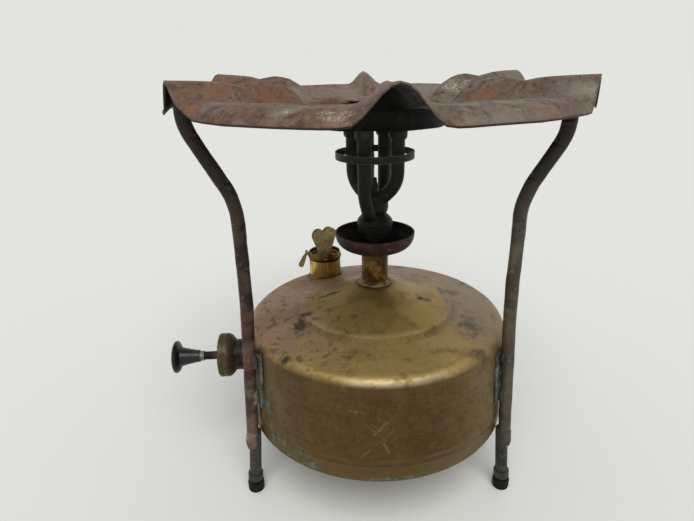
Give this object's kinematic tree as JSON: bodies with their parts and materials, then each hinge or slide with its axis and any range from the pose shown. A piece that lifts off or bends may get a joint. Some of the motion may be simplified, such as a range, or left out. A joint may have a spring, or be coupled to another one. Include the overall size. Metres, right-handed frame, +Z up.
{
  "type": "pressure stove",
  "caption": "Brass paraffin pressure stove: fuel tank on rod legs, side hand pump, screw filler cap, riser with priming cup, burner and loose ridged pot plate.",
  "frame": {"origin": "on the floor under the tank's axis, midway between the feet", "axes": "+Z up along the tank's, riser's and burner's axis; -Y is the front, seen in the picture; the pump stands out towards -X; one leg is at the back (+Y)"},
  "size_m": [0.2475, 0.2274, 0.2516],
  "materials": {
    "aged_brass": "aged, patinated and scratched",
    "bright_brass": "polished",
    "dull_brass": "dull olive patina",
    "sooty_brass": "soot-blackened",
    "sooty_steel": "soot-blackened",
    "lead": "soft grey lead",
    "rusty_steel": "dark, rusty and rough",
    "bracket_steel": "dull, solder-stained",
    "rod_steel": "dull and lightly rusted",
    "black_knob": "glossy black",
    "leather": "oiled",
    "black_rubber": "matt",
    "pressed_steel": "heat-stained, rusty and flecked"
  },
  "bodies": {
    "stove": {"tank_shell": "aged_brass", "tank_base": "aged_brass", "riser_collar": "aged_brass", "riser_tube": "aged_brass", "pickup_tube": "aged_brass", "priming_cup": "sooty_brass", "burner_gasket": "lead", "burner_base": "sooty_brass", "burner_tube_fl": "sooty_brass", "burner_tube_fr": "sooty_brass", "burner_tube_rr": "sooty_brass", "burner_tube_rl": "sooty_brass", "burner_head": "sooty_brass", "jet_nipple": "dull_brass", "burner_band": "sooty_steel", "pump_barrel": "dull_brass", "pump_cap": "dull_brass", "pump_cap_washer": "leather", "rod_spring": "rod_steel", "valve_body": "dull_brass", "valve_stop": "dull_brass", "valve_spring": "rod_steel", "filler_neck": "bright_brass", "bracket_left": "bracket_steel", "bracket_right": "bracket_steel", "bracket_rear": "bracket_steel", "leg_left": "rusty_steel", "leg_right": "rusty_steel", "leg_rear": "rusty_steel", "foot_post_left": "rusty_steel", "foot_post_right": "rusty_steel", "foot_post_rear": "rusty_steel", "foot_ferrule_left": "rusty_steel", "foot_ferrule_right": "rusty_steel", "foot_ferrule_rear": "rusty_steel", "rubber_foot_left": "black_rubber", "rubber_foot_right": "black_rubber", "rubber_foot_rear": "black_rubber"},
    "plunger": {"pump_rod": "rod_steel", "knob_ferrule": "dull_brass", "pump_knob": "black_knob", "leather_cup": "leather", "piston_plate": "rod_steel", "piston_nut": "rod_steel"},
    "valve_pip": {"valve_pip": "black_rubber"},
    "cap_carrier": {"filler_gasket": "black_rubber"},
    "cap": {"filler_cap": "bright_brass", "cap_wing": "dull_brass"},
    "air_screw": {"air_screw": "dull_brass"},
    "spreader": {"flame_ring": "sooty_steel", "flame_spreader": "sooty_steel"},
    "pot_plate": {"pot_plate": "pressed_steel"}
  },
  "joints": [
    {"name": "pump_stroke", "type": "slide", "parent": "stove", "child": "plunger", "axis": [-0.998, -0.0628, 0], "range_m": [-0.0104, 0.05]},
    {"name": "valve_lift", "type": "slide", "parent": "stove", "child": "valve_pip", "axis": [0.998, 0.0628, 0], "range_m": [0, 0.001], "stiffness_N_per_m": 200, "springref_m": -0.002, "deforming": ["valve_spring"]},
    {"name": "cap_lift", "type": "slide", "parent": "stove", "child": "cap_carrier", "axis": [0, 0, 1], "range_m": [0, 0.0045]},
    {"name": "cap_turn", "type": "hinge", "parent": "cap_carrier", "child": "cap", "pos_m": [-0.03502, 0.05582, 0.125], "axis": [0, 0, 1], "range_deg": [0, 1080]},
    {"name": "air_screw_turn", "type": "hinge", "parent": "cap", "child": "air_screw", "pos_m": [-0.03502, 0.05582, 0.125], "axis": [-1, 0, 0], "range_deg": [0, 360]},
    {"name": "spreader_lift", "type": "slide", "parent": "stove", "child": "spreader", "axis": [0, 0, 1], "range_m": [0, 0.04]},
    {"name": "plate_lift", "type": "slide", "parent": "stove", "child": "pot_plate", "axis": [0, 0, 1], "range_m": [0, 0.06]}
  ],
  "couplings": [
    {"joint": "cap_turn", "follows": "cap_lift", "rad_per_m": 4188.8}
  ]
}
